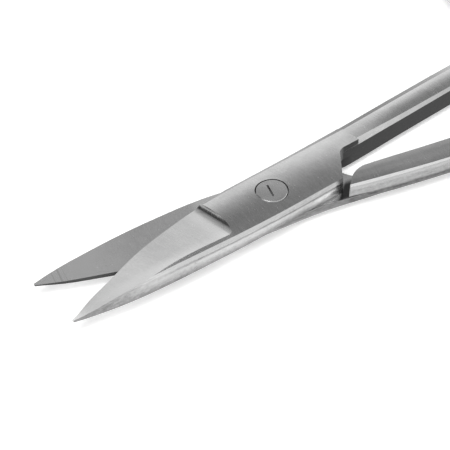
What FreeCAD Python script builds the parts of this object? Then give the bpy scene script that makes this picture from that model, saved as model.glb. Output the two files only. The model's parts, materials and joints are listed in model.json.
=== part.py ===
"""Toenail scissors: two ground steel halves that lap at the pivot, and one pivot screw.

The halves are built closed, side by side in one frame: the pivot axis is Z, the blades
point to -X, the finger rings lie at +X, and the ground mating faces meet at Z = 0.
Each half is built with its blade above Z = 0, and the lower one is then turned over.
The scissors rest on their underside, a little open.
"""
import FreeCAD, Part
import math
import os

# Lengths along the scissors, from the pivot axis
upper_tip_reach = 34.4
lower_tip_reach = 34.9
shoulder_reach = 8.5
box_reach = 16.1
shank_start = 9.0
shank_finish = 44.0
ring_reach = 61.0

# How far the blades stand open at rest, in degrees
rest_opening = 15.12

# Half of the gap between the two mating faces, and between the closed shanks
mating_gap = 0.02
shank_gap = 0.17

# How far each handle is set over from the line of its blade, in degrees
upper_handle_set = -1.0
lower_handle_set = 0.7

# Widths of the upper half, from the pivot's centre line, at shares of the blade and of the box
upper_back = [(0.00, 0.00), (0.14, 1.05), (0.33, 2.12), (0.56, 2.90), (0.79, 3.45), (1.00, 3.90)]
upper_edge = [(0.00, 0.36), (0.14, 1.42), (0.33, 2.66), (0.56, 4.15), (0.79, 4.93), (1.00, 5.35)]
upper_near = [(0.30, 4.26), (0.62, 4.55), (1.00, 4.90)]
upper_far = [(0.30, 4.98), (0.62, 4.74), (1.00, 4.70)]
upper_outer = [(0.00, 4.62), (0.21, 4.70), (0.46, 4.75), (0.79, 4.67), (1.00, 4.25)]

# Widths of the lower half, ground a little wider at the heel and slimmer at the shank
lower_back = [(0.00, 0.00), (0.14, 1.20), (0.33, 2.40), (0.56, 3.60), (0.79, 4.45), (1.00, 4.98)]
lower_edge = [(0.00, 0.36), (0.14, 1.33), (0.33, 2.36), (0.56, 3.45), (0.79, 4.05), (1.00, 4.30)]
lower_near = [(0.30, 4.90), (0.62, 4.60), (1.00, 4.45)]
lower_far = [(0.30, 3.85), (0.62, 3.50), (1.00, 4.06)]
lower_outer = [(0.00, 3.48), (0.21, 4.04), (0.46, 4.32), (0.79, 4.42), (1.00, 4.25)]

# Heights of the blade and box: the side walls, the bevels above them and the crown of the dome
near_wall_height = 1.50
near_crease_height = 1.97
near_bevel_width = 0.28
far_wall_height = 1.70
far_crease_height = 2.05
far_bevel_width = 0.55
crown_height = 2.45

# Where the box starts to take the shank's form on its far side and on its top, and how far the top drops
far_blend_start = -4.0
drop_start = 6.8
end_drop = 0.42

# Slant of the side walls, over their full height, at shares of the blade, and along the box
back_slant = [(0.00, 0.05), (0.14, 0.45), (0.33, 0.60), (0.56, 0.72), (0.79, 0.60), (1.00, 0.45)]
edge_slant = [(0.00, 0.05), (0.14, 0.22), (0.33, 0.35), (0.56, 0.35), (0.79, 0.40), (1.00, 0.55)]
box_near_slant = [(0.30, 0.25), (0.62, 0.22), (1.00, 0.20)]
box_far_slant = [(0.30, 0.35), (0.62, 0.35), (1.00, 0.45)]

# Ground face of the blade: heights at the cutting edge and at the back, at shares of the blade
face_at_edge = [(0.00, 0.18), (0.14, 0.50), (0.33, 0.74), (0.60, 0.78), (1.00, 0.95)]
face_at_back = [(0.00, 0.34), (0.14, 0.97), (0.33, 1.78), (0.60, 2.37), (1.00, 2.27)]
face_overrun = 1.2
cove_radius = 1.15

# End of the box, cut on the slant beside the other half's shank
end_wall_start = 8.60
end_wall_finish = 12.50
end_corner_radius = 2.0
end_wall_gap = 0.30
step_corner_radius = 4.5

# Shank, at shares of its length: heights of its inner wall and of the inner, middle and outer top
inner_wall = [(0.00, 1.18), (0.21, 1.18), (0.42, 1.18), (0.75, 1.24), (1.00, 1.12)]
top_inner = [(0.00, 2.01), (0.21, 2.00), (0.42, 1.72), (0.75, 1.60), (1.00, 1.48)]
top_middle = [(0.00, 1.93), (0.21, 1.92), (0.42, 1.88), (0.75, 1.80), (1.00, 1.54)]
top_outer = [(0.00, 1.70), (0.21, 1.70), (0.42, 1.64), (0.75, 1.60), (1.00, 1.48)]
under_middle = [(0.00, 1.83), (0.21, 1.87), (0.42, 1.71), (0.75, 1.66), (1.00, 1.54)]
under_edge = [(0.00, 1.68), (0.21, 1.72), (0.42, 1.57), (0.75, 1.52), (1.00, 1.42)]
inner_bevel = [(0.00, 0.45), (0.21, 0.45), (0.42, 0.42), (0.75, 0.36), (1.00, 0.36)]
under_bevel = 0.12
outer_wall_height = 1.25
outer_bow = 0.45
upper_outer_bevel = 0.90
lower_outer_bevel = 0.60

# Finger ring
ring_bore = 20.8
ring_band = 2.8
ring_thickness = 3.2
ring_edge_cut = 0.95
ring_bore_cut = 0.75
ring_easing = 0.25
ring_root_overlap = 5.6
crotch_radius = 5.5

# Pivot screw
head_diameter = 4.4
head_thickness = 1.0
head_clearance = 0.09
head_easing = 0.10
neck_diameter = 3.0
neck_clearance = 0.03
thread_diameter = 2.5
slot_length = 2.3
slot_width = 0.30
slot_depth = 0.45
slot_angle = 77.0
slot_offset = 0.2
head_floor = crown_height - head_thickness

# Room that the cutting bodies take past the steel, and the spacing of a loft's sections
spare = 6.0
station_spacing = 3.5

# How closely an edge is matched when it is picked for a fillet
match = 0.01


def along(points, share):
    """A smooth curve through (share, value) points, read at one share."""
    count = len(points)
    slopes = []
    for i in range(count):
        left = points[max(i - 1, 0)]
        right = points[min(i + 1, count - 1)]
        slopes.append((right[1] - left[1]) / (right[0] - left[0]))
    i = 0
    while i < count - 2 and share > points[i + 1][0]:
        i += 1
    (x0, y0), (x1, y1) = points[i], points[i + 1]
    step = x1 - x0
    t = (share - x0) / step
    rise = y0 * (1 + 2 * t) * (1 - t) ** 2 + y1 * t * t * (3 - 2 * t)
    return rise + step * (slopes[i] * t * (1 - t) ** 2 - slopes[i + 1] * t * t * (1 - t))


def blade_x(tip_reach, share):
    """Place on the axis at a share of the blade, from the tip to the shoulder."""
    return -tip_reach + share * (tip_reach - shoulder_reach)


def box_x(share):
    """Place on the axis at a share of the box, from the shoulder to its end."""
    return -shoulder_reach + share * (shoulder_reach + box_reach)


def long_line(tip_reach, on_blade, on_box):
    """One line along the blade and the box, as (x, value) points."""
    blade = [(blade_x(tip_reach, share), value) for share, value in on_blade]
    box = [(box_x(share), value) for share, value in on_box]
    return blade + box


def stations(start, end, spacing):
    """Evenly spaced places on the axis, no further apart than the spacing."""
    count = math.ceil((end - start) / spacing)
    return [start + (end - start) * i / count for i in range(count + 1)]


def section(x, outline):
    """A closed wire at one place on the axis, from (y, z) corners, each with an arc's middle point or none."""
    edges = []
    count = len(outline)
    for i in range(count):
        start = FreeCAD.Vector(x, outline[i][0], outline[i][1])
        after = outline[(i + 1) % count]
        end = FreeCAD.Vector(x, after[0], after[1])
        if len(outline[i]) == 4:
            middle = FreeCAD.Vector(x, outline[i][2], outline[i][3])
            edges.append(Part.Arc(start, middle, end).toShape())
        else:
            edges.append(Part.LineSegment(start, end).toShape())
    return Part.Wire(edges)


def rounded_face(corners):
    """A flat face from (x, y, radius) corners, each rounded by its own radius."""
    count = len(corners)
    runs = []
    for i in range(count):
        here = FreeCAD.Vector(corners[i][0], corners[i][1], 0)
        before = FreeCAD.Vector(corners[i - 1][0], corners[i - 1][1], 0)
        after = FreeCAD.Vector(corners[(i + 1) % count][0], corners[(i + 1) % count][1], 0)
        radius = corners[i][2]
        if radius == 0:
            runs.append((here, None, here))
            continue
        back = (before - here).normalize()
        ahead = (after - here).normalize()
        half_angle = back.getAngle(ahead) / 2
        reach = radius / math.tan(half_angle)
        middle = (back + ahead).normalize() * (radius / math.sin(half_angle) - radius)
        runs.append((here + back * reach, here + middle, here + ahead * reach))
    edges = []
    for i in range(count):
        start, middle, end = runs[i]
        if middle is not None:
            edges.append(Part.Arc(start, middle, end).toShape())
        edges.append(Part.LineSegment(end, runs[(i + 1) % count][0]).toShape())
    return Part.Face(Part.Wire(edges))


def slab(face, low, high):
    """A flat face at Z = 0 made into a solid between two heights."""
    solid = face.extrude(FreeCAD.Vector(0, 0, high - low))
    solid.translate(FreeCAD.Vector(0, 0, low))
    return solid


def blend(before, after, share):
    """A size part of the way from one value to another."""
    return before + share * (after - before)


def box_section(x, back, edge, back_inset, edge_inset, outer_bevel):
    """Section of the blade and box stock: slanted walls, two bevels and a domed top."""
    heel_width = upper_back[-1][1] + upper_edge[-1][1]
    room = min(1.0, (back + edge) / heel_width)
    to_shank = max(0, x - far_blend_start) / (box_reach - far_blend_start)
    drop = end_drop * (max(0, x - drop_start) / (box_reach - drop_start)) ** 2
    near_wall = -back + back_inset
    near_crease = near_wall + near_bevel_width * room
    far_wall = edge - edge_inset
    far_wall_top = blend(far_wall_height, outer_wall_height, to_shank)
    far_crease = far_wall - blend(far_bevel_width * room, outer_bevel, to_shank)
    far_crease_top = blend(far_crease_height, top_outer[0][1], to_shank ** 2)
    crown = (near_crease + far_crease) / 2
    outline = [
        (-back, mating_gap),
        (near_wall, near_wall_height),
        (near_crease, near_crease_height - drop, crown, crown_height - drop),
        (far_crease, far_crease_top),
        (far_wall, far_wall_top),
        (edge, mating_gap),
    ]
    return section(x, outline)


def blade_and_box(tip_reach, back, edge, near, far, outer_bevel):
    """Forged stock of the blade and box: one loft from the tip to the end of the box."""
    back_line = long_line(tip_reach, back, near)
    edge_line = long_line(tip_reach, edge, far)
    back_inset = long_line(tip_reach, back_slant, box_near_slant)
    edge_inset = long_line(tip_reach, edge_slant, box_far_slant)
    wires = []
    for x in stations(-tip_reach, box_reach, station_spacing):
        widths = along(back_line, x), along(edge_line, x)
        insets = along(back_inset, x), along(edge_inset, x)
        wires.append(box_section(x, *widths, *insets, outer_bevel))
    return Part.makeLoft(wires, True, False)


def face_grinder(tip_reach, back, edge):
    """Body that grinds the blade's face: a twisted floor, with a rounded end that leaves the cove."""
    back_line = [(blade_x(tip_reach, share), value) for share, value in back]
    edge_line = [(blade_x(tip_reach, share), value) for share, value in edge]
    low_line = [(blade_x(tip_reach, share), value) for share, value in face_at_edge]
    high_line = [(blade_x(tip_reach, share), value) for share, value in face_at_back]
    wires = []
    for x in stations(-tip_reach - station_spacing, -shoulder_reach, station_spacing):
        kept = max(x, -tip_reach)
        low = (along(edge_line, kept), along(low_line, kept))
        high = (-along(back_line, kept), along(high_line, kept))
        slope = (high[1] - low[1]) / (low[0] - high[0])
        outline = [
            (low[0] + face_overrun, low[1] - slope * face_overrun),
            (high[0] - face_overrun, high[1] + slope * face_overrun),
            (high[0] - face_overrun, crown_height + spare),
            (low[0] + face_overrun, crown_height + spare),
        ]
        wires.append(section(x, outline))
    body = Part.makeLoft(wires, True, False)
    return body.makeFillet(cove_radius, [e for e in body.Edges if is_floor_end(e)])


def is_floor_end(edge):
    """True for the grinder's edge between its floor and its end at the shoulder."""
    box = edge.BoundBox
    at_shoulder = abs(box.XMin + shoulder_reach) < match and box.XLength < match
    return at_shoulder and box.YLength > spare and box.ZMax < crown_height + spare / 2


def end_line(y):
    """Place on the axis of the slanted end wall of the box, at a distance from the centre line."""
    share = (upper_near[-1][1] + y) / (upper_near[-1][1] + shank_gap)
    return end_wall_start + share * (end_wall_finish - end_wall_start)


def box_end_cutter():
    """Body that takes away the steel past the slanted end of the box, beside the shank."""
    outer = upper_near[-1][1] + spare
    far_x = box_reach + spare
    corners = [
        (end_line(-outer), -outer, 0),
        (end_line(shank_gap), shank_gap, end_corner_radius),
        (far_x, shank_gap, 0),
        (far_x, -outer, 0),
    ]
    return slab(rounded_face(corners), -spare, spare)


def step_cutter():
    """Body that makes room on the shank for the other half's box, and leaves a well rounded corner."""
    outer = upper_near[-1][1] + spare
    far_x = box_reach + spare
    corners = [
        (0, -outer, 0),
        (far_x, -outer, 0),
        (far_x, shank_gap, 0),
        (end_line(-shank_gap) + end_wall_gap, shank_gap, step_corner_radius),
        (end_line(-outer) + end_wall_gap, outer, 0),
        (0, outer, 0),
    ]
    return slab(rounded_face(corners), -spare, mating_gap)


def shank_section(x, share, outer, outer_bevel):
    """Section of the shank: a flat inner wall with bevels, domed faces and a bowed outer wall."""
    inner_crease = shank_gap + along(inner_bevel, share)
    wall = outer - outer_bow
    outer_crease = wall - outer_bevel
    top = (inner_crease + outer_crease) / 2, along(top_middle, share)
    under = (shank_gap + wall) / 2, -along(under_middle, share)
    under_side = along(under_edge, share)
    outline = [
        (shank_gap, under_bevel - under_side),
        (shank_gap, along(inner_wall, share)),
        (inner_crease, along(top_inner, share), *top),
        (outer_crease, along(top_outer, share)),
        (wall, outer_wall_height, outer, 0),
        (wall, -outer_wall_height),
        (wall - under_bevel, -under_side, *under),
        (shank_gap + under_bevel, -under_side),
    ]
    return section(x, outline)


def shank(outer, outer_bevel):
    """The shank, from inside the box to the root of the ring."""
    wires = []
    for x in stations(shank_start, shank_finish, station_spacing):
        share = (x - shank_start) / (shank_finish - shank_start)
        wires.append(shank_section(x, share, along(outer, share), outer_bevel))
    return Part.makeLoft(wires, True, False)


def ring():
    """Finger ring with the root of its shank, cut from flat stock, with its edges cut back and eased."""
    radius = ring_bore / 2 + ring_band
    centre = FreeCAD.Vector(ring_reach, shank_gap + radius, 0)
    root_x = shank_finish - ring_root_overlap
    root_y = upper_outer[-1][1] - outer_bow
    rise = centre.y - root_y - crotch_radius
    crotch_x = ring_reach - math.sqrt((radius + crotch_radius) ** 2 - rise ** 2)
    crotch = FreeCAD.Vector(crotch_x, root_y + crotch_radius, 0)
    meet = crotch + (centre - crotch).normalize() * crotch_radius
    low = crotch - FreeCAD.Vector(0, crotch_radius, 0)
    middle = crotch + ((meet - crotch) + (low - crotch)).normalize() * crotch_radius
    inner_root = FreeCAD.Vector(root_x, shank_gap, 0)
    outer_root = FreeCAD.Vector(root_x, root_y, 0)
    inner_end = FreeCAD.Vector(ring_reach, shank_gap, 0)
    crest = centre + FreeCAD.Vector(radius, 0, 0)
    outline = Part.Wire([
        Part.LineSegment(inner_root, inner_end).toShape(),
        Part.Arc(inner_end, crest, meet).toShape(),
        Part.Arc(meet, middle, low).toShape(),
        Part.LineSegment(low, outer_root).toShape(),
        Part.LineSegment(outer_root, inner_root).toShape(),
    ])
    body = slab(Part.Face(outline), -ring_thickness / 2, ring_thickness / 2)
    body = body.makeChamfer(ring_edge_cut, [e for e in body.Edges if is_flat_rim(e, root_x)])
    hole_floor = centre - FreeCAD.Vector(0, 0, ring_thickness / 2)
    body = body.cut(Part.makeCylinder(ring_bore / 2, ring_thickness, hole_floor))
    body = body.makeChamfer(ring_bore_cut, [e for e in body.Edges if is_bore_rim(e)])
    return body.makeChamfer(ring_easing, [e for e in body.Edges if is_flat_rim(e, root_x)])


def is_flat_rim(edge, root_x):
    """True for an edge of the ring's two flat faces, other than at its root."""
    box = edge.BoundBox
    level = abs(abs(box.ZMin) - ring_thickness / 2) < match and box.ZLength < match
    return level and box.XMax > root_x + match


def is_bore_rim(edge):
    """True for the two circles at the ends of the finger hole."""
    round_edge = isinstance(edge.Curve, Part.Circle) and edge.isClosed()
    return round_edge and abs(edge.Curve.Radius - ring_bore / 2) < match


def half(stock, grinder, handle, set_over):
    """One half, closed, with its blade above the mating plane, before its screw hole is drilled."""
    ground = stock.cut(grinder).cut(box_end_cutter())
    stepped = handle.cut(step_cutter())
    root = FreeCAD.Vector(end_wall_finish, 0, 0)
    return ground.fuse(stepped.rotated(root, FreeCAD.Vector(0, 0, 1), set_over)).removeSplitter()


def turned_over(shape):
    """A half turn about the scissors' long axis, which makes one half the other."""
    return shape.rotated(FreeCAD.Vector(0, 0, 0), FreeCAD.Vector(1, 0, 0), 180)


def screw_slot():
    """The short slot left in the screw's head after it was ground flush."""
    corner = FreeCAD.Vector(-slot_length / 2, -slot_width / 2 + slot_offset, crown_height - slot_depth)
    body = Part.makeBox(slot_length, slot_width, spare, corner)
    return turned(body, slot_angle)


def pivot_screw(upper_dome, lower_dome):
    """The screw: a flush head, a plain neck in the upper half, and a thread in the lower half."""
    head = post(head_diameter, head_floor, head_floor + spare).common(upper_dome)
    head = head.makeChamfer(head_easing, [e for e in head.Edges if is_head_rim(e)])
    neck = post(neck_diameter, -mating_gap, head_floor)
    thread = post(thread_diameter, -spare, -mating_gap).common(lower_dome)
    return head.cut(screw_slot()).fuse(neck).fuse(thread)


def is_head_rim(edge):
    """True for the edge where the screw's head meets the dome that it was ground flush with."""
    box = edge.BoundBox
    return box.ZMin > head_floor + match and (box.XLength > match or box.YLength > match)


def post(diameter, low, high):
    """A round body on the pivot axis, between two heights."""
    return Part.makeCylinder(diameter / 2, high - low, FreeCAD.Vector(0, 0, low))


def turned(shape, angle):
    """A piece turned about the pivot."""
    return shape.rotated(FreeCAD.Vector(0, 0, 0), FreeCAD.Vector(0, 0, 1), angle)


os.makedirs("parts", exist_ok=True)

# The two halves, closed
upper_shape = upper_tip_reach, upper_back, upper_edge
upper_stock = blade_and_box(*upper_shape, upper_near, upper_far, upper_outer_bevel)
upper_grinder = face_grinder(*upper_shape)
upper_handle = shank(upper_outer, upper_outer_bevel).fuse(ring())
upper_form = half(upper_stock, upper_grinder, upper_handle, upper_handle_set)
lower_shape = lower_tip_reach, lower_back, lower_edge
lower_stock = blade_and_box(*lower_shape, lower_near, lower_far, lower_outer_bevel)
lower_grinder = face_grinder(*lower_shape)
lower_handle = shank(lower_outer, lower_outer_bevel).fuse(ring())
lower_form = half(lower_stock, lower_grinder, lower_handle, lower_handle_set)

# Opened to rest, before the screw is ground flush with both domes
upper_half = turned(upper_form, rest_opening / 2)
lower_half = turned(turned_over(lower_form), -rest_opening / 2)
upper_dome = turned(upper_stock, rest_opening / 2)
lower_dome = turned(turned_over(lower_stock), -rest_opening / 2)
screw = pivot_screw(upper_dome, lower_dome)

# Running hole and counterbore in the upper half, thread hole in the lower half
running_hole = post(neck_diameter + 2 * neck_clearance, 0, spare)
counterbore = post(head_diameter + 2 * head_clearance, head_floor, spare)
thread_hole = post(thread_diameter, -spare, spare)
upper_half = upper_half.cut(running_hole).cut(counterbore)
lower_half = lower_half.cut(thread_hole)

# The origin is under the middle of the whole, on the surface that the scissors lie on
whole = Part.makeCompound([upper_half, lower_half, screw]).optimalBoundingBox(False, False)
lift = FreeCAD.Vector(-whole.Center.x, -whole.Center.y, -whole.ZMin)
for name, shape in (("upper_half", upper_half), ("lower_half", lower_half), ("pivot_screw", screw)):
    shape.translate(lift)
    shape.exportStep("parts/" + name + ".step")
    print(name, len(shape.Solids), shape.isValid(), round(shape.Volume, 2))
print("pivot", round(lift.x, 3), round(lift.y, 3), round(lift.z, 3))
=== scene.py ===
"""Toenail scissors: the finishes of the two halves and the screw, the floor, the light and the camera."""
import json
import math

import bpy
from mathutils import Matrix, Vector

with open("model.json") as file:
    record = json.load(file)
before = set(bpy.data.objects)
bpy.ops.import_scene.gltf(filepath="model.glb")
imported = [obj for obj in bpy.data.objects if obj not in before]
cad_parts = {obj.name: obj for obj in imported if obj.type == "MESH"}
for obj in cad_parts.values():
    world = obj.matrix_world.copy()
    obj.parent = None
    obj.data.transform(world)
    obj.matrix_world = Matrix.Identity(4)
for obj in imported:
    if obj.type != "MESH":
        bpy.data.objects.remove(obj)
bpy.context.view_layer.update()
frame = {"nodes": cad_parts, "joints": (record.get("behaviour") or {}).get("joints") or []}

# The pivot in the row frame, in metres, and how far each half is turned from closed
PIVOT = Vector(frame["joints"][0]["pos_m"])
HALF_OPENING = math.radians(7.56)
MILLIMETRES = 1000.0

# A pair in brackets says where a change of finish starts and where it is complete

# Along a half, in millimetres from the pivot, with the blade towards minus
SHOULDER = -8.5
SHANK_START = 8.0
COVE_MIDDLE = SHOULDER - 2.0
COVE_REACH = 4.0
BLADE = (SHOULDER, COVE_MIDDLE)
SHANK = (SHANK_START - 0.4, SHANK_START + 0.6)
BACK_END = (13.5, 12.0)
TIP_WALL = (-20.0, -31.0)
NEAR_TIP_FACE = (-22.0, -29.0)
FAR_TIP_FACE = (-17.0, -28.0)
COVE_FOOT = (-12.5, -9.5)
COVE_RIM = (-9.0, -8.75)
BOX_BY_SHOULDER = (2.5, -3.0)
BOX_BY_END = (2.0, 7.0)
BOX_WALL = (-6.0, 2.0)
OUTER_BEVEL_START = (-11.0, -8.0)
OUTER_WALL_START = (-8.0, -4.0)
INNER_BEVEL_START = (16.2, 15.9)
GREY_LINE_END = (-14.0, -24.0)
BACK_LINE_START = (-14.0, -19.0)
FACE_MIDDLE, FACE_REACH = -18.0, 6.0

# The slanted step on the shank, and places measured from it
STEP_SLANT = 0.8
STEP_PLACE = 12.8
PAST_STEP = (-0.3, 0.2)
SEAT_BY_STEP = (-1.9, -1.3)

# Across a half, towards its own outer side
INNER_SIDE = (-1.6, -0.9)
SEAT_INNER_SIDE = (0.0, 1.2)
SEAT_OUTER_SIDE = (4.2, 3.2)
COVE_WIDTH = (-3.6, -1.5)
BACK_SLANT = 0.13
BACK_OF_FACE = (-1.86, -4.06)

# Height from the mating plane towards a half's own top, which faces the floor on the lower half
MATING_PLANE = (0.15, 0.05)
LOW_WALL = (1.1, 0.0)
LIT_WALL = (1.2, 0.9)
GREY_LINE_HEIGHT, GREY_LINE_REACH = 1.31, 0.26
BACK_LINE_HEIGHT = (0.3, 0.9)
LIGHT_LINE_HEIGHT, LIGHT_LINE_REACH = 1.5, 0.4

# Height over the mating plane, upward for both halves and for the screw
OUTER_WALL_MIDDLE = (1.05, 0.65)
OUTER_WALL_FOOT = (0.25, -0.3)
SLOT_MOUTH = (2.36, 2.2)
HEAD_END = (-1.0, 0.0)

# Across the screw's head, towards its near side and towards its far side
HEAD_NEAR = (0.8, -1.6)
HEAD_FAR = (0.0, 1.8)

# How far a surface leans: its unit normal along the half, outward, or towards the half's own top
FLAT_TOP = (0.8, 0.95)
DOMED_TOP = (0.8, 0.9)
FLAT_UNDER = (-0.9, -0.98)
ROUND_UNDER = (-0.8, -0.9)
LEVEL = (0.55, 0.9)
NOT_UPRIGHT = (0.15, 0.3)
BACK_WALL = (-0.7, -0.9)
INNER_WALL = (-0.75, -0.92)
OUTER_WALL = (0.6, 0.8)
EDGE_WALL = (0.5, 0.8)
NEAR_BEVEL_OUT, NEAR_BEVEL_UP = (-0.6, -0.8), (0.4, 0.5)
INNER_BEVEL_OUT, INNER_BEVEL_UP = (-0.5, -0.7), (0.1, 0.3)
OUTER_BEVEL_OUT, OUTER_BEVEL_UP = (0.30, 0.42), (0.35, 0.5)
STEEP_COVE = (-0.6, -0.8)
ROUNDED_RIM = (-0.1, -0.3)
FAR_HALF_OF_SHANK = (0.09, -0.06)
BACK_LINE_LEAN, BACK_LINE_SPREAD = -0.66, 0.16
CROWN_LEAN, CROWN_SPREAD = -0.03, 0.2

# Scratches across the far blade near its tip: place, half width and strength
SCRATCH_SLANT = 0.1
SCRATCHES = [(-31.2, 0.2, 1.0), (-32.1, 0.15, 0.7), (-30.5, 0.12, 0.4)]

# Grinding marks: the stretch and scale of each noise, with the blotches' detail, and how much they change
MARKS_ACROSS = [((1.0, 0.12, 0.3), 4.5), ((1.0, 0.5, 0.8), 6.0)]
MARKS_ALONG = [((0.12, 1.0, 1.0), 4.0), ((0.6, 1.0, 1.0), 3.0)]
BLOTCHES = ((1.0, 0.8, 1.0), 0.5, 3.0)
NOISE_DETAIL = 4.0
NOISE_ROUGHNESS = 0.6
NOISE_MIDDLE = 0.5
ACROSS_DEPTH = 0.8
TONE_BY_MARKS = 0.8
TONE_BY_BLOTCHES = 0.5
MIDDLE_TONE = 0.5
WALL_BY_MARKS = 0.5
ROUGHNESS_BY_MARKS = 0.1
BUMP_STRENGTH = 0.15
BUMP_DEPTH = 0.00002

# Tones of the steel
SATIN = 0.25
DULL_STEEL = 0.50
BRIGHT_STEEL = 0.70
# The tone of the painted light on the faces and bevels
PAINTED_LIGHT_STEEL = 0.8
WALL_STEEL = 0.54
LIT_WALL_STEEL = 0.9
# The tone of the painted light on the screw's head
HEAD_PAINTED_LIGHT = 0.85
SHADED_STEEL = 0.05
# The tone of the painted shade and painted dark reflections
PAINTED_DARK = 0.03
WALL_TINT = 0.8

# How strongly the painted shade and painted dark reflections show
INNER_WALL_PAINTED_DARK = 0.98
BEVEL_PAINTED_DARK = 0.8
SEAT_PAINTED_SHADE = 0.95
EDGE_PAINTED_DARK = 0.95
COVE_PAINTED_DARK = 0.9

# How much darker the painted shade makes each place, and how much the scratches darken
GREY_LINE_SHADE = 0.5
LOW_WALL_SHADE = 0.6
LOW_WALL_RELIEF = 0.7
TIP_WALL_SHADE = 0.58
BOX_WALL_SHADE = 0.14
OUTER_MIDDLE_SHADE = 0.42
OUTER_FOOT_SHADE = 0.45
BEFORE_STEP_SHADE = 0.74
LIGHT_LINE_RELIEF = 0.3
SCRATCH_DARKENING = 0.2
BOX_SHADE = 0.25
SHANK_SHADE = 0.45
BACK_LINE_SHADE = 0.4
FACE_SHADE = 0.14
SLOT_SHADE = 0.38
HEAD_FAR_SHADE = 0.2

# How much lighter the painted light makes each place
BACK_LIGHT = 0.38
NEAR_TIP_LIGHT = 0.15
COVE_FOOT_LIGHT = 0.6
FAR_TIP_LIGHT = 0.65
MATING_LIGHT = 0.95
BEVEL_LIGHT = 0.55
HEAD_NEAR_LIGHT = 0.6

# Light of the tent by height, on the far side and on the near side of the scissors
FAR_STOPS = [
    (0.0, 1.0), (0.3, 1.0), (0.42, 0.88), (0.55, 0.62),
    (0.66, 0.42), (0.76, 0.24), (0.9, 0.16), (1.0, 0.12),
]
NEAR_STOPS = [(0.0, 0.95), (0.25, 0.88), (0.5, 0.74), (0.7, 0.3), (0.85, 0.15), (1.0, 0.12)]
NEAR_SIDE = (0.1, -0.2)
FAR_SIDE = (0.0, 0.3)
LEFT_SIDE = (-0.1, -0.65)
DARK_CLOTH = 0.12
TENT_STRENGTH = 1.15

# Soft boxes: name, power in watts, azimuth and elevation in degrees, then their size and distance in metres
SOFT_BOXES = [("left_light", 1.8, 216.0, 67.0), ("right_light", 1.1, 290.0, 68.0)]
SOFT_BOX_SIZE = 0.35
SOFT_BOX_DISTANCE = 0.6

# Floor: its paint and glow, its half width and how far it lies under the scissors, in metres
FLOOR_PAINT = 0.9
FLOOR_GLOW = 0.34
FLOOR_REACH = 1.2
FLOOR_DROP = 0.00002

# Camera: its turn and height in degrees, then its distance and the pivot's place off the middle, in metres
VIEW_TURN = -34.0
VIEW_HEIGHT = 42.7
VIEW_DISTANCE = 0.450
PIVOT_RIGHT = 0.006233
PIVOT_UP = 0.002869
NEAREST, FARTHEST = 0.01, 10.0

# Lens: its length in pixels of a picture this wide, and the sensor's width in millimetres
LENS_PIXELS = 3357.0
PICTURE_PIXELS = 450.0
SENSOR_WIDTH = 36.0

# The Mix node's two colours and its colour result, which go by number as their names repeat
MIX_DARK, MIX_LIGHT, MIX_COLOUR = 6, 7, 2


class Value:
    """A shader value that Python arithmetic can be written with."""

    def __init__(self, finish, socket):
        self.finish = finish
        self.socket = socket

    def __add__(self, other):
        return self.finish.maths("ADD", self, other)

    def __sub__(self, other):
        return self.finish.maths("SUBTRACT", self, other)

    def __rsub__(self, other):
        return self.finish.maths("SUBTRACT", other, self)

    def __mul__(self, other):
        return self.finish.maths("MULTIPLY", self, other)

    def __abs__(self):
        return self.finish.maths("ABSOLUTE", self)

    __radd__ = __add__
    __rmul__ = __mul__


class Finish:
    """The nodes of one material, or of the world."""

    def __init__(self, owner):
        self.owner = owner
        owner.use_nodes = True
        self.tree = owner.node_tree
        self.tree.nodes.clear()

    def node(self, kind, settings=None, sockets=None, output=0):
        """Adds one node: its settings first, then the values or links of its sockets."""
        node = self.tree.nodes.new("ShaderNode" + kind)
        for name, value in (settings or {}).items():
            if name == "stops":
                set_stops(node.color_ramp, value)
            else:
                setattr(node, name, value)
        for name, value in (sockets or {}).items():
            if isinstance(value, Value):
                self.tree.links.new(value.socket, node.inputs[name])
            else:
                node.inputs[name].default_value = value
        return Value(self, node.outputs[output]) if node.outputs else node

    def maths(self, operation, *values):
        """One step of arithmetic on values or numbers."""
        return self.node("Math", {"operation": operation}, dict(enumerate(values)))

    def clamped(self, value):
        """The value held between nothing and one."""
        return self.node("Clamp", None, {"Value": value})

    def fade(self, value, span):
        """Nothing at the span's start, one at its end, with a smooth change between."""
        start, end = span
        sockets = {"Value": value, "From Min": start, "From Max": end}
        return self.node("MapRange", {"interpolation_type": "SMOOTHSTEP"}, sockets)

    def band(self, value, centre, reach):
        """One at the centre, falling smoothly to nothing at the reach on both sides."""
        return self.fade(abs(value - centre), (reach, 0.0))

    def parts(self, vector):
        """The three components of a vector."""
        split = self.node("SeparateXYZ", None, {"Vector": vector}).socket.node
        return [Value(self, socket) for socket in split.outputs]

    def grain(self, place, stretch, scale, detail=NOISE_DETAIL):
        """Noise stretched along the grinding marks, as much above nothing as below it."""
        drawn = self.node("Mapping", None, {"Vector": place, "Scale": stretch})
        sockets = {"Vector": drawn, "Scale": scale, "Detail": detail, "Roughness": NOISE_ROUGHNESS}
        return self.node("TexNoise", {"noise_dimensions": "3D"}, sockets) - NOISE_MIDDLE

    def tinted(self, dark, light, factor):
        """A colour between two tones."""
        sockets = {"Factor": factor, MIX_DARK: dark, MIX_LIGHT: light}
        return self.node("Mix", {"data_type": "RGBA"}, sockets, MIX_COLOUR)


def set_stops(ramp, stops):
    """Gives a colour ramp its stops, from (place, brightness) pairs."""
    while len(ramp.elements) < len(stops):
        ramp.elements.new(0.5)
    for element, (place, brightness) in zip(ramp.elements, stops):
        element.position = place
        element.color = grey(brightness)


def grey(brightness):
    """A neutral colour."""
    return (brightness, brightness, brightness, 1.0)


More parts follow.
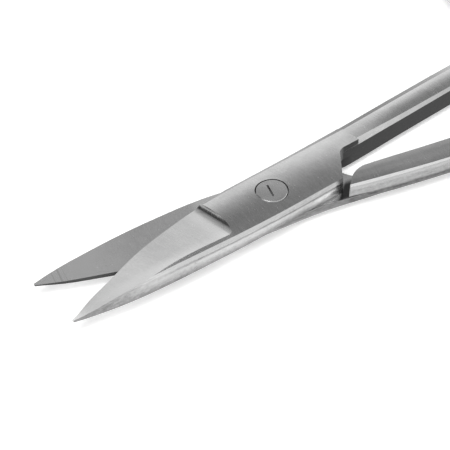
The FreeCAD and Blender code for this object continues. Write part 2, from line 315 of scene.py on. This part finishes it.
class Spot:
    """A point of a half in millimetres, as in the closed scissors, and the lean of its surface."""

    def __init__(self, finish, turned_by, side):
        coordinates = finish.node("TexCoord", output="Object")
        normal = finish.node("TexCoord", output="Normal")
        turn = Matrix.Rotation(-turned_by, 3, "Z")
        self.point = finish.node("Mapping", None, {
            "Vector": coordinates,
            "Location": tuple(-(turn @ PIVOT) * MILLIMETRES),
            "Rotation": (0.0, 0.0, -turned_by),
            "Scale": (MILLIMETRES, MILLIMETRES, MILLIMETRES),
        })
        sockets = {"Vector": normal, "Rotation": (0.0, 0.0, -turned_by)}
        facing = finish.node("Mapping", {"vector_type": "NORMAL"}, sockets)
        self.x, self.y, self.z = finish.parts(self.point)
        self.lean_along, lean_across, self.lean_up = finish.parts(facing)
        self.across, self.height = self.y * side, self.z * side
        self.outward, self.upward = lean_across * side, self.lean_up * side
        self.to_step = self.x + self.across * STEP_SLANT - STEP_PLACE

        self.on_blade = finish.fade(self.x, BLADE)
        self.on_shank = finish.fade(self.x, SHANK)
        self.to_tip = finish.fade(self.x, TIP_WALL)
        self.to_back = finish.fade(self.across + self.x * BACK_SLANT, BACK_OF_FACE)
        at_plane = finish.fade(abs(self.height), MATING_PLANE)
        self.mating_face = finish.fade(self.upward, FLAT_UNDER) * at_plane * (1.0 - self.on_blade)
        self.back_wall = finish.fade(self.outward, BACK_WALL) * finish.fade(self.x, BACK_END)
        self.outer_wall = finish.fade(self.outward, OUTER_WALL) * finish.fade(self.x, OUTER_WALL_START)


def grinding_marks(finish, spot):
    """Marks across the box and the blade's faces, and along the walls, with a fine tooth over both."""
    across = sum(finish.grain(spot.point, stretch, scale) for stretch, scale in MARKS_ACROSS)
    along = sum(finish.grain(spot.point, stretch, scale) for stretch, scale in MARKS_ALONG)
    level = finish.fade(abs(spot.lean_up), LEVEL)
    return across * level * ACROSS_DEPTH + along * (1.0 - level)


def shank_painted_dark(finish, spot):
    """Painted shade and painted dark reflections on the wall between the shanks, on the inner and outer
    bevels, and by the step.
    """
    upright = 1.0 - finish.fade(spot.upward, NOT_UPRIGHT)
    inner_wall = finish.fade(spot.outward, INNER_WALL) * upright
    inner_wall = inner_wall * spot.on_shank * finish.fade(spot.across, INNER_SIDE)
    inner_bevel = finish.fade(spot.outward, INNER_BEVEL_OUT) * finish.fade(spot.upward, INNER_BEVEL_UP)
    inner_bevel = inner_bevel * spot.on_shank * finish.fade(spot.x, INNER_BEVEL_START)
    outer_bevel = finish.fade(spot.outward, OUTER_BEVEL_OUT) * finish.fade(spot.upward, OUTER_BEVEL_UP)
    outer_bevel = outer_bevel * finish.fade(spot.x, OUTER_BEVEL_START)
    seat = spot.mating_face * finish.fade(spot.to_step, SEAT_BY_STEP)
    seat = seat * finish.fade(spot.across, SEAT_INNER_SIDE) * finish.fade(spot.across, SEAT_OUTER_SIDE)
    bevels = inner_bevel * BEVEL_PAINTED_DARK + outer_bevel * BEVEL_PAINTED_DARK
    return inner_wall * INNER_WALL_PAINTED_DARK + bevels + seat * SEAT_PAINTED_SHADE


def blade_painted_dark(finish, spot):
    """Painted dark reflections on the thin wall along the cutting edge, and in the cove."""
    edge_wall = finish.fade(spot.outward, EDGE_WALL) * spot.on_blade
    rim = finish.fade(spot.lean_along, ROUNDED_RIM) * finish.fade(spot.x, COVE_RIM)
    cove = finish.clamped(finish.fade(spot.lean_along, STEEP_COVE) + rim)
    cove = cove * finish.band(spot.x, COVE_MIDDLE, COVE_REACH) * finish.fade(spot.across, COVE_WIDTH)
    return edge_wall * EDGE_PAINTED_DARK + cove * COVE_PAINTED_DARK


def back_wall_shade(finish, spot):
    """Painted shade on the back's wall, with its grey line under the bevel."""
    grey_line = finish.band(spot.height, GREY_LINE_HEIGHT, GREY_LINE_REACH)
    grey_line = grey_line * (1.0 - finish.fade(spot.x, GREY_LINE_END))
    low = finish.fade(spot.height, LOW_WALL) * (1.0 - spot.to_tip)
    low = low * (1.0 - finish.fade(spot.x, BOX_BY_END) * LOW_WALL_RELIEF)
    shade = grey_line * GREY_LINE_SHADE + low * LOW_WALL_SHADE
    shade = shade + spot.to_tip * TIP_WALL_SHADE + finish.fade(spot.x, BOX_WALL) * BOX_WALL_SHADE
    return spot.back_wall * shade


def outer_wall_shade(finish, spot):
    """Painted shade on the shank's bowed outer wall, darker towards the floor past the step, and dark before
    it but for a painted light line.
    """
    past_step = finish.fade(spot.to_step, PAST_STEP)
    middle = finish.fade(spot.z, OUTER_WALL_MIDDLE) * OUTER_MIDDLE_SHADE
    foot = finish.fade(spot.z, OUTER_WALL_FOOT) * OUTER_FOOT_SHADE
    light_line = finish.band(spot.height, LIGHT_LINE_HEIGHT, LIGHT_LINE_REACH)
    before_step = (1.0 - past_step) * (BEFORE_STEP_SHADE - light_line * LIGHT_LINE_RELIEF)
    return spot.outer_wall * ((middle + foot) * past_step + before_step)


def face_shade(finish, spot):
    """Shade on the box by its shoulder, and on the far half of the shank."""
    box = finish.band(spot.outward, CROWN_LEAN, CROWN_SPREAD) * finish.fade(spot.x, BOX_BY_SHOULDER)
    box = box * finish.fade(spot.upward, DOMED_TOP) * (1.0 - spot.on_blade)
    shank = finish.fade(spot.outward, FAR_HALF_OF_SHANK) * finish.fade(spot.upward, ROUND_UNDER)
    return box * BOX_SHADE + shank * spot.on_shank * SHANK_SHADE


def blade_shade_and_scratches(finish, spot):
    """Painted shade along the blade's back and in the middle of its face, and the darker scratches by the far
    tip.
    """
    back_line = finish.band(spot.outward, BACK_LINE_LEAN, BACK_LINE_SPREAD)
    back_line = back_line * finish.fade(spot.x, BACK_LINE_START)
    back_line = back_line * finish.fade(spot.height, BACK_LINE_HEIGHT)
    middle = finish.band(spot.x, FACE_MIDDLE, FACE_REACH) * (1.0 - spot.to_back)
    middle = middle * finish.fade(spot.upward, FLAT_TOP)
    slanted = spot.x + spot.across * SCRATCH_SLANT
    scratches = sum(finish.band(slanted, place, reach) * strength for place, reach, strength in SCRATCHES)
    scratches = scratches * finish.fade(spot.upward, FLAT_UNDER)
    return back_line * BACK_LINE_SHADE + middle * FACE_SHADE + scratches * SCRATCH_DARKENING


def painted_light(finish, spot):
    """Painted light on the blade's back, its tip and the cove's foot, on the mating face and on the near
    bevel.
    """
    near_face = finish.fade(spot.upward, FLAT_TOP) * spot.on_blade
    near_light = spot.to_back * BACK_LIGHT + finish.fade(spot.x, NEAR_TIP_FACE) * NEAR_TIP_LIGHT
    near_light = near_light + finish.fade(spot.x, COVE_FOOT) * COVE_FOOT_LIGHT
    far_face = finish.fade(spot.upward, FLAT_UNDER) * spot.on_blade
    far_light = finish.fade(spot.x, FAR_TIP_FACE) * FAR_TIP_LIGHT
    bevel = finish.fade(spot.outward, NEAR_BEVEL_OUT) * finish.fade(spot.upward, NEAR_BEVEL_UP)
    bevel = bevel * finish.fade(spot.x, BACK_END)
    light = near_light * near_face + far_light * far_face + spot.mating_face * MATING_LIGHT
    return finish.clamped(light + bevel * BEVEL_LIGHT)


def ground_steel(name, turned_by, side, is_screw=False):
    """Satin steel, ground across the box and blade and along the walls. Side is 1 for the upper half."""
    finish = Finish(bpy.data.materials.new(name))
    spot = Spot(finish, turned_by, side)
    marks = grinding_marks(finish, spot)
    blotches = finish.grain(spot.point, *BLOTCHES)
    wall = finish.clamped(spot.back_wall + spot.outer_wall)
    # Painted light on the back's wall by the box end
    lit_wall = spot.back_wall * finish.fade(spot.x, BOX_BY_END) * finish.fade(spot.height, LIT_WALL)
    # Painted shade on the walls, box, shank and blade; the scratches and the walls' grinding marks darken
    # with it
    wall_shade = back_wall_shade(finish, spot) + outer_wall_shade(finish, spot)
    shade = finish.clamped(wall_shade + face_shade(finish, spot) + blade_shade_and_scratches(finish, spot))
    shade = finish.clamped(shade + wall * marks * WALL_BY_MARKS)
    painted_dark = finish.clamped(shank_painted_dark(finish, spot) + blade_painted_dark(finish, spot))

    tone = finish.clamped(marks * TONE_BY_MARKS + blotches * TONE_BY_BLOTCHES + MIDDLE_TONE)
    colour = finish.tinted(grey(DULL_STEEL), grey(BRIGHT_STEEL), tone)
    # Painted light on the blade's faces, the mating face and the near bevel
    colour = finish.tinted(colour, grey(PAINTED_LIGHT_STEEL), painted_light(finish, spot))
    colour = finish.tinted(colour, grey(WALL_STEEL), wall * WALL_TINT)
    colour = finish.tinted(colour, grey(LIT_WALL_STEEL), lit_wall * WALL_TINT)
    colour = finish.tinted(colour, grey(SHADED_STEEL), shade)
    # Painted shade and painted dark reflections on the walls, bevels, seat, cutting edge and cove
    colour = finish.tinted(colour, grey(PAINTED_DARK), painted_dark)
    if is_screw:
        # Painted shade in the slot, and painted light on the head's near side with painted shade on its far
        # side, so the domed head looks flatter than the box around it
        slot_shade = finish.fade(spot.z, SLOT_MOUTH) * finish.fade(spot.z, HEAD_END)
        far_shade = finish.fade(spot.y, HEAD_FAR) * HEAD_FAR_SHADE
        colour = finish.tinted(colour, grey(HEAD_PAINTED_LIGHT), finish.fade(spot.y, HEAD_NEAR) * HEAD_NEAR_LIGHT)
        colour = finish.tinted(colour, grey(SHADED_STEEL), slot_shade * SLOT_SHADE + far_shade)
    bump = finish.node("Bump", None, {"Strength": BUMP_STRENGTH, "Distance": BUMP_DEPTH, "Height": marks})
    surface = finish.node("BsdfPrincipled", None, {
        "Base Color": colour,
        "Metallic": 1.0,
        "Roughness": finish.clamped(SATIN + marks * ROUGHNESS_BY_MARKS),
        "Normal": bump,
    })
    finish.node("OutputMaterial", None, {"Surface": surface})
    return finish.owner


def white_floor():
    """Plain white floor that keeps the soft shadow of the scissors."""
    finish = Finish(bpy.data.materials.new("white_floor"))
    rays = finish.node("LightPath").socket.node.outputs
    seen = finish.maths("MAXIMUM", Value(finish, rays["Is Camera Ray"]), Value(finish, rays["Is Glossy Ray"]))
    seen = finish.maths("MAXIMUM", seen, Value(finish, rays["Is Transmission Ray"]))
    paint = finish.node("BsdfDiffuse", None, {"Color": grey(FLOOR_PAINT)})
    glow = finish.node("Emission", None, {"Color": grey(1.0), "Strength": seen * FLOOR_GLOW})
    finish.node("OutputMaterial", None, {"Surface": finish.node("AddShader", None, {0: paint, 1: glow})})
    return finish.owner


def floor():
    """A wide flat sheet under the scissors."""
    mesh = bpy.data.meshes.new("floor")
    corners = [(-1, -1), (1, -1), (1, 1), (-1, 1)]
    mesh.from_pydata([(x * FLOOR_REACH, y * FLOOR_REACH, 0) for x, y in corners], [], [(0, 1, 2, 3)])
    sheet = bpy.data.objects.new("floor", mesh)
    sheet.location.z = -FLOOR_DROP
    mesh.materials.append(white_floor())
    bpy.context.scene.collection.objects.link(sheet)


def studio_world():
    """Soft light that is bright low down and darker overhead, as a tent of cloth gives."""
    world = bpy.data.worlds.new("studio")
    bpy.context.scene.world = world
    finish = Finish(world)
    dx, dy, dz = finish.parts(finish.node("TexCoord", output="Generated"))
    far = finish.node("ValToRGB", {"stops": FAR_STOPS}, {"Fac": dz})
    near = finish.node("ValToRGB", {"stops": NEAR_STOPS}, {"Fac": dz})
    tent = finish.tinted(far, near, finish.fade(dy, NEAR_SIDE))
    to_far_left = finish.fade(dx, LEFT_SIDE) * finish.fade(dy, FAR_SIDE)
    tent = finish.tinted(tent, grey(DARK_CLOTH), to_far_left)
    surface = finish.node("Background", None, {"Color": tent, "Strength": TENT_STRENGTH})
    finish.node("OutputWorld", None, {"Surface": surface})


def soft_box(name, power, azimuth, elevation):
    """A square lamp that faces the scissors."""
    lamp = bpy.data.lights.new(name, "AREA")
    lamp.energy = power
    lamp.shape = "SQUARE"
    lamp.size = SOFT_BOX_SIZE
    box = bpy.data.objects.new(name, lamp)
    around, up = math.radians(azimuth), math.radians(elevation)
    towards = Vector((math.cos(around) * math.cos(up), math.sin(around) * math.cos(up), math.sin(up)))
    box.location = PIVOT + towards * SOFT_BOX_DISTANCE
    box.rotation_euler = towards.to_track_quat("Z", "Y").to_euler()
    bpy.context.scene.collection.objects.link(box)


def camera():
    """The photograph's point of view."""
    around, up = math.radians(VIEW_TURN), math.radians(VIEW_HEIGHT)
    right = Vector((math.cos(around), math.sin(around), 0))
    back = Vector((math.sin(around) * math.cos(up), -math.cos(around) * math.cos(up), math.sin(up)))
    above = back.cross(right)
    eye = bpy.data.cameras.new("eye")
    eye.sensor_width = SENSOR_WIDTH
    eye.lens = SENSOR_WIDTH * LENS_PIXELS / PICTURE_PIXELS
    eye.clip_start = NEAREST
    eye.clip_end = FARTHEST
    viewer = bpy.data.objects.new("eye", eye)
    place = PIVOT + back * VIEW_DISTANCE - right * PIVOT_RIGHT - above * PIVOT_UP
    axes = Matrix((right, above, back)).transposed().to_4x4()
    viewer.matrix_world = Matrix.Translation(place) @ axes
    bpy.context.scene.collection.objects.link(viewer)
    bpy.context.scene.camera = viewer


def dress(node, material):
    """Gives a solid its finish."""
    solid = frame["nodes"][node]
    solid.data.materials.clear()
    solid.data.materials.append(material)


dress("upper_half", ground_steel("upper_steel", HALF_OPENING, 1.0))
dress("lower_half", ground_steel("lower_steel", -HALF_OPENING, -1.0))
dress("pivot_screw", ground_steel("screw_steel", HALF_OPENING, 1.0, True))
floor()
studio_world()
for name, power, azimuth, elevation in SOFT_BOXES:
    soft_box(name, power, azimuth, elevation)
camera()
bpy.context.scene.view_settings.view_transform = "Standard"
